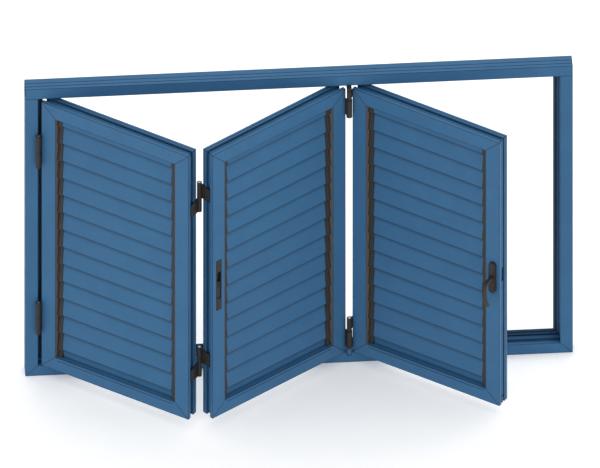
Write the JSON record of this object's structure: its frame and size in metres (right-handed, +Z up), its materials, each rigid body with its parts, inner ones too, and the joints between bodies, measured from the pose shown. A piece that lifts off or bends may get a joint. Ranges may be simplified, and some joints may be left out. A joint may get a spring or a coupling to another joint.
{
  "type": "folding louvred shutters",
  "caption": "Folding louvred aluminium shutter in its outer frame: hinged leaves run on a top track, with a lever handle, locking rods and a flush pull.",
  "frame": {"origin": "middle of the sill's underside, at mid-depth of the outer frame", "axes": "+X along the frame to the right seen from outside, +Y into the building, +Z up"},
  "size_m": [1.65, 0.3867, 1.1],
  "materials": {
    "blue_aluminium": "satin blue powder coat on extruded aluminium",
    "dark_hardware": "fine textured dark brown-grey coat on cast and pressed hardware",
    "holder_plastic": "matt moulded nylon, near black",
    "liner_plastic": "matt extruded plastic, warm grey",
    "seal_rubber": "matt extruded rubber",
    "plain_alloy": "mill finish",
    "pin_steel": "turned stainless steel",
    "screw_steel": "black passivated steel",
    "roller_nylon": "natural nylon"
  },
  "bodies": {
    "frame": {"head_rail": "blue_aluminium", "sill_rail": "blue_aluminium", "left_jamb": "blue_aluminium", "right_jamb": "blue_aluminium", "frame_seals": "seal_rubber", "sill_cleats": "plain_alloy", "jamb_hinge_frame_halves": "dark_hardware", "jamb_hinge_pins": "pin_steel", "frame_screws": "screw_steel"},
    "leaf_1": {"leaf_1_left_stile": "blue_aluminium", "leaf_1_right_stile": "blue_aluminium", "leaf_1_top_rail": "blue_aluminium", "leaf_1_bottom_rail": "blue_aluminium", "leaf_1_blades": "blue_aluminium", "leaf_1_blade_holders": "holder_plastic", "leaf_1_liners": "liner_plastic", "leaf_1_closers": "blue_aluminium", "leaf_1_cleats": "plain_alloy", "jamb_hinge_leaf_halves": "dark_hardware", "fold_hinge_lower_halves": "dark_hardware", "fold_hinge_pins": "pin_steel", "leaf_1_screws": "screw_steel"},
    "leaf_2": {"leaf_2_left_stile": "blue_aluminium", "leaf_2_right_stile": "blue_aluminium", "leaf_2_top_rail": "blue_aluminium", "leaf_2_bottom_rail": "blue_aluminium", "leaf_2_blades": "blue_aluminium", "leaf_2_blade_holders": "holder_plastic", "leaf_2_liners": "liner_plastic", "leaf_2_closers": "blue_aluminium", "leaf_2_cleats": "plain_alloy", "fold_hinge_upper_halves": "dark_hardware", "door_hinge_wide_halves": "dark_hardware", "door_hinge_pins": "pin_steel", "carriage_cap_nut": "screw_steel", "leaf_2_screws": "screw_steel", "flush_pull_tray": "dark_hardware"},
    "pull_slider": {"flush_pull_slider": "dark_hardware"},
    "carriage": {"carriage_arm": "dark_hardware", "carriage_block": "dark_hardware"},
    "rollers_left": {"carriage_rollers_left": "roller_nylon"},
    "rollers_right": {"carriage_rollers_right": "roller_nylon"},
    "guide": {"guide_arm": "blue_aluminium", "guide_shoe": "roller_nylon"},
    "leaf_3": {"leaf_3_left_stile": "blue_aluminium", "leaf_3_right_stile": "blue_aluminium", "leaf_3_top_rail": "blue_aluminium", "leaf_3_bottom_rail": "blue_aluminium", "leaf_3_blades": "blue_aluminium", "leaf_3_blade_holders": "holder_plastic", "leaf_3_liners": "liner_plastic", "leaf_3_closers": "blue_aluminium", "leaf_3_cleats": "plain_alloy", "door_hinge_narrow_halves": "dark_hardware", "leaf_3_screws": "screw_steel", "handle_rosette": "dark_hardware", "lock_case": "plain_alloy"},
    "handle": {"handle_lever": "dark_hardware"},
    "rod_upper": {"lock_rod_upper": "blue_aluminium"},
    "rod_lower": {"lock_rod_lower": "blue_aluminium"}
  },
  "joints": [
    {"name": "leaf1_fold", "type": "hinge", "parent": "frame", "child": "leaf_1", "pos_m": [-0.787, -0.039, 0], "axis": [0, 0, -1], "range_deg": [-35, 47]},
    {"name": "leaf2_fold", "type": "hinge", "parent": "leaf_1", "child": "leaf_2", "pos_m": [-0.31835, -0.27803, 0], "axis": [0, 0, -1], "range_deg": [-94, 70]},
    {"name": "carriage_turn", "type": "hinge", "parent": "leaf_2", "child": "carriage", "pos_m": [0.1503, -0.039, 0], "axis": [0, 0, -1], "range_deg": [-35, 47]},
    {"name": "guide_turn", "type": "hinge", "parent": "leaf_2", "child": "guide", "pos_m": [0.1503, -0.039, 0], "axis": [0, 0, -1], "range_deg": [-35, 47]},
    {"name": "leaf3_swing", "type": "hinge", "parent": "carriage", "child": "leaf_3", "pos_m": [0.1503, -0.039, 0], "axis": [0, 0, -1], "range_deg": [-35, 47]},
    {"name": "rollers_left_spin", "type": "hinge", "parent": "carriage", "child": "rollers_left", "pos_m": [0.1303, -0.0045, 1.0713], "axis": [0, 1, 0], "continuous": true},
    {"name": "rollers_right_spin", "type": "hinge", "parent": "carriage", "child": "rollers_right", "pos_m": [0.1703, -0.0045, 1.0713], "axis": [0, 1, 0], "continuous": true},
    {"name": "handle_turn", "type": "hinge", "parent": "leaf_3", "child": "handle", "pos_m": [0.56463, -0.31203, 0.533], "axis": [0.5736, 0.8192, 0], "range_deg": [0, 90]},
    {"name": "rod_upper_slide", "type": "slide", "parent": "leaf_3", "child": "rod_upper", "axis": [0, 0, 1], "range_m": [0, 0.015]},
    {"name": "rod_lower_slide", "type": "slide", "parent": "leaf_3", "child": "rod_lower", "axis": [0, 0, -1], "range_m": [0, 0.015]},
    {"name": "pull_slide", "type": "slide", "parent": "leaf_2", "child": "pull_slider", "axis": [0, 0, 1], "range_m": [0, 0.025]}
  ],
  "couplings": [
    {"joint": "leaf2_fold", "follows": "leaf1_fold", "ratio": -2},
    {"joint": "carriage_turn", "follows": "leaf1_fold", "ratio": 1},
    {"joint": "guide_turn", "follows": "leaf1_fold", "ratio": 1},
    {"joint": "rod_upper_slide", "follows": "handle_turn", "m_per_rad": 0.009549},
    {"joint": "rod_lower_slide", "follows": "handle_turn", "m_per_rad": 0.009549}
  ]
}
